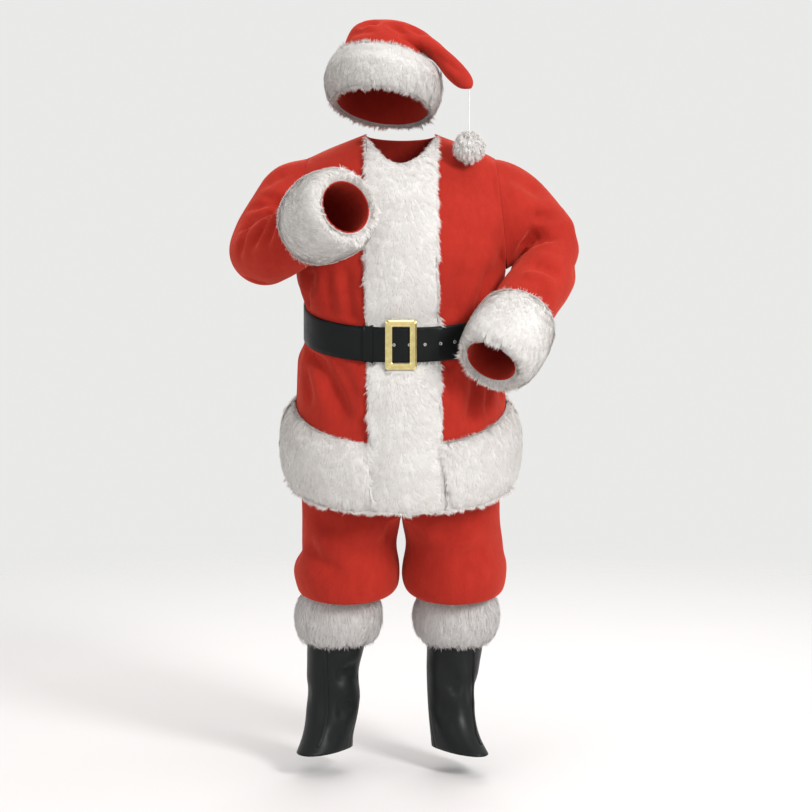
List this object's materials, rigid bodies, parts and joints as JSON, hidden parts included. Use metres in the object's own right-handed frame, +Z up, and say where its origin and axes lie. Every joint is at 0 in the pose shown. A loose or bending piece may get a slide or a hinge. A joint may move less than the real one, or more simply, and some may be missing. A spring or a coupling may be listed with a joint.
{
  "type": "santa suit",
  "caption": "Worn Santa costume: belted plush jacket with fur placket, hem and cuffs, trousers, fur-topped boot covers and a hat with a pompom on a string.",
  "frame": {"origin": "Centre of the wearer's neck between the shoulder tops, 1.560 m above the floor the wearer stands on.", "axes": "+Z up, -Y the wearer's front, +X the wearer's left, which is the picture's right."},
  "size_m": [0.8684, 0.6624, 1.8282],
  "materials": {
    "plush": "soft short-pile red plush",
    "fur": "long white faux fur",
    "belt_vinyl": "semi-gloss black vinyl",
    "boot_vinyl": "glossy soft black vinyl",
    "gold": "polished gold plate",
    "nickel": "polished nickel plate",
    "cord": "white twisted cord"
  },
  "bodies": {
    "root": {"jacket_front_left": "plush", "jacket_front_right": "plush", "jacket_back": "plush", "sleeve_left": "plush", "sleeve_right": "plush", "trouser_leg_left": "plush", "trouser_leg_right": "plush", "hat_crown": "plush", "fur_placket": "fur", "fur_hem_left": "fur", "fur_hem_right": "fur", "fur_hem_back": "fur", "fur_cuff_left": "fur", "fur_cuff_right": "fur", "fur_boot_left": "fur", "fur_boot_right": "fur", "fur_brim": "fur", "hat_pompom": "fur", "belt_strap": "belt_vinyl", "belt_keeper": "belt_vinyl", "boot_front_left": "boot_vinyl", "boot_front_right": "boot_vinyl", "boot_back_left": "boot_vinyl", "boot_back_right": "boot_vinyl", "buckle": "gold", "eyelet_1": "nickel", "eyelet_2": "nickel", "eyelet_3": "nickel", "eyelet_4": "nickel", "eyelet_5": "nickel", "hat_string": "cord"}
  },
  "joints": []
}
